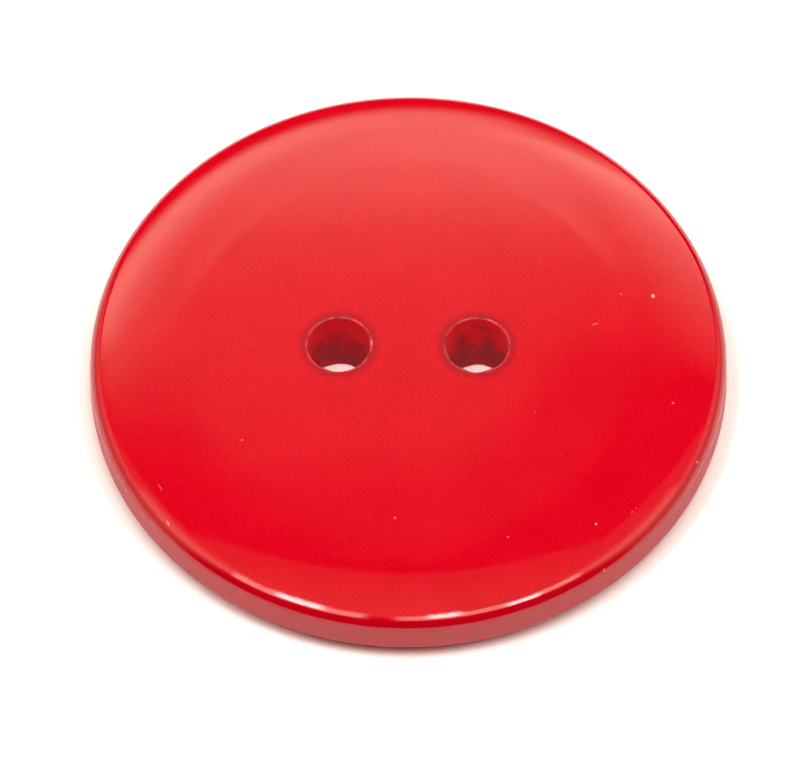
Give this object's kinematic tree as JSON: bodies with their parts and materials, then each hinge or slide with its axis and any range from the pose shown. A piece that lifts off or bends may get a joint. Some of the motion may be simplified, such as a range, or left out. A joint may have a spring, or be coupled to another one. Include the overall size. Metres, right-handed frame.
{
  "type": "sewing button",
  "caption": "Round, gently domed sew-through button in glossy plastic, with thread holes at its centre, for fastening clothes.",
  "frame": {"origin": "centre of the flat seat on the back, on the button's axis", "axes": "+Z along the button's axis, out of the face; +X along the line through the thread holes"},
  "size_m": [0.0254, 0.0254, 0.0034],
  "materials": {
    "red_plastic": "polished, slightly translucent red resin"
  },
  "bodies": {
    "root": {"button": "red_plastic"}
  },
  "joints": []
}
